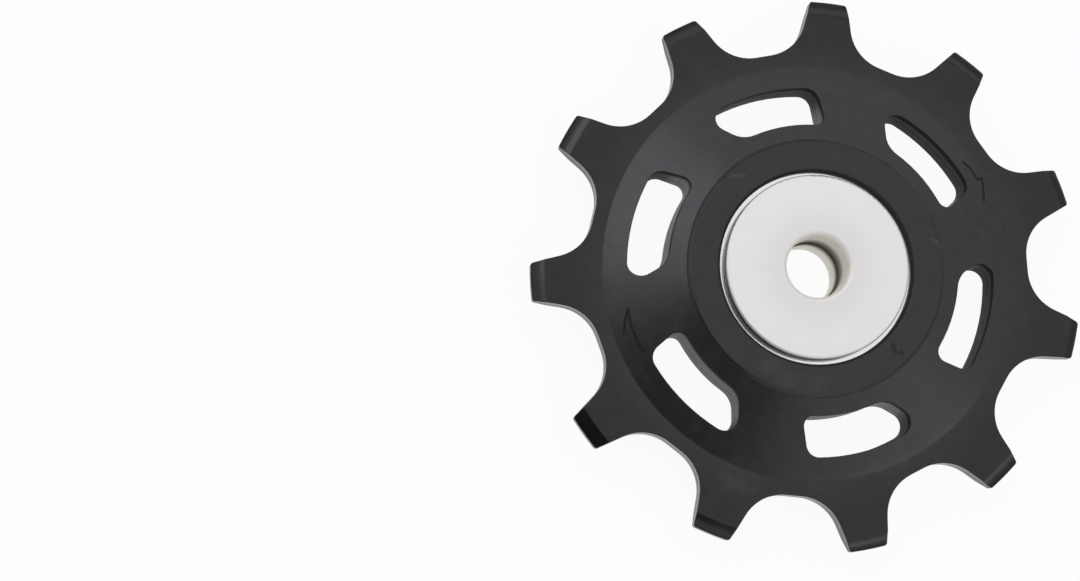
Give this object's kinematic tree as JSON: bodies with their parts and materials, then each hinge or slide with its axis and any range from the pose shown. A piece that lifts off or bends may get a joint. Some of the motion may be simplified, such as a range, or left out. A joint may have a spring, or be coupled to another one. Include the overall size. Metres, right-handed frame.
{
  "type": "derailleur jockey wheel",
  "caption": "Toothed guide pulley for a bicycle rear derailleur: a dished plastic wheel with swept windows, turning on a sealed ball bearing between turned metal caps.",
  "frame": {"origin": "centre of the axle bore, on the middle plane of the teeth and the bearing", "axes": "+Z along the axle bore, out of the front cap; +X through the middle of a tooth gap"},
  "size_m": [0.046, 0.0464, 0.007],
  "materials": {
    "wheel_plastic": "satin moulded acetal, charcoal",
    "cap_metal": "satin turned, clear anodised",
    "bearing_steel": "ground bearing steel",
    "ball_steel": "polished steel",
    "cage_steel": "pressed steel strip",
    "seal_rubber": "moulded nitrile"
  },
  "bodies": {
    "hub": {"front_cap": "cap_metal", "rear_cap": "cap_metal", "bearing_inner_race": "bearing_steel"},
    "wheel": {"toothed_wheel": "wheel_plastic", "bearing_outer_race": "bearing_steel", "front_seal": "seal_rubber", "rear_seal": "seal_rubber"},
    "cage": {"front_cage_half": "cage_steel", "rear_cage_half": "cage_steel"},
    "ball_01": {"ball_01": "ball_steel"},
    "ball_02": {"ball_02": "ball_steel"},
    "ball_03": {"ball_03": "ball_steel"},
    "ball_04": {"ball_04": "ball_steel"},
    "ball_05": {"ball_05": "ball_steel"},
    "ball_06": {"ball_06": "ball_steel"},
    "ball_07": {"ball_07": "ball_steel"},
    "ball_08": {"ball_08": "ball_steel"},
    "ball_09": {"ball_09": "ball_steel"},
    "ball_10": {"ball_10": "ball_steel"},
    "ball_11": {"ball_11": "ball_steel"}
  },
  "joints": [
    {"name": "wheel_spin", "type": "hinge", "parent": "hub", "child": "wheel", "pos_m": [0, 0, 0], "axis": [0, 0, 1], "continuous": true},
    {"name": "cage_spin", "type": "hinge", "parent": "hub", "child": "cage", "pos_m": [0, 0, 0], "axis": [0, 0, 1], "continuous": true},
    {"name": "ball_01_spin", "type": "hinge", "parent": "cage", "child": "ball_01", "pos_m": [0.006, 0, 0], "axis": [0, 0, 1], "continuous": true},
    {"name": "ball_02_spin", "type": "hinge", "parent": "cage", "child": "ball_02", "pos_m": [0.00505, 0.00324, 0], "axis": [0, 0, 1], "continuous": true},
    {"name": "ball_03_spin", "type": "hinge", "parent": "cage", "child": "ball_03", "pos_m": [0.00249, 0.00546, 0], "axis": [0, 0, 1], "continuous": true},
    {"name": "ball_04_spin", "type": "hinge", "parent": "cage", "child": "ball_04", "pos_m": [-0.00085, 0.00594, 0], "axis": [0, 0, 1], "continuous": true},
    {"name": "ball_05_spin", "type": "hinge", "parent": "cage", "child": "ball_05", "pos_m": [-0.00393, 0.00453, 0], "axis": [0, 0, 1], "continuous": true},
    {"name": "ball_06_spin", "type": "hinge", "parent": "cage", "child": "ball_06", "pos_m": [-0.00576, 0.00169, 0], "axis": [0, 0, 1], "continuous": true},
    {"name": "ball_07_spin", "type": "hinge", "parent": "cage", "child": "ball_07", "pos_m": [-0.00576, -0.00169, 0], "axis": [0, 0, 1], "continuous": true},
    {"name": "ball_08_spin", "type": "hinge", "parent": "cage", "child": "ball_08", "pos_m": [-0.00393, -0.00453, 0], "axis": [0, 0, 1], "continuous": true},
    {"name": "ball_09_spin", "type": "hinge", "parent": "cage", "child": "ball_09", "pos_m": [-0.00085, -0.00594, 0], "axis": [0, 0, 1], "continuous": true},
    {"name": "ball_10_spin", "type": "hinge", "parent": "cage", "child": "ball_10", "pos_m": [0.00249, -0.00546, 0], "axis": [0, 0, 1], "continuous": true},
    {"name": "ball_11_spin", "type": "hinge", "parent": "cage", "child": "ball_11", "pos_m": [0.00505, -0.00324, 0], "axis": [0, 0, 1], "continuous": true}
  ],
  "couplings": [
    {"joint": "cage_spin", "follows": "wheel_spin", "ratio": 0.58333},
    {"joint": "ball_01_spin", "follows": "wheel_spin", "ratio": 2.9167},
    {"joint": "ball_02_spin", "follows": "wheel_spin", "ratio": 2.9167},
    {"joint": "ball_03_spin", "follows": "wheel_spin", "ratio": 2.9167},
    {"joint": "ball_04_spin", "follows": "wheel_spin", "ratio": 2.9167},
    {"joint": "ball_05_spin", "follows": "wheel_spin", "ratio": 2.9167},
    {"joint": "ball_06_spin", "follows": "wheel_spin", "ratio": 2.9167},
    {"joint": "ball_07_spin", "follows": "wheel_spin", "ratio": 2.9167},
    {"joint": "ball_08_spin", "follows": "wheel_spin", "ratio": 2.9167},
    {"joint": "ball_09_spin", "follows": "wheel_spin", "ratio": 2.9167},
    {"joint": "ball_10_spin", "follows": "wheel_spin", "ratio": 2.9167},
    {"joint": "ball_11_spin", "follows": "wheel_spin", "ratio": 2.9167}
  ]
}
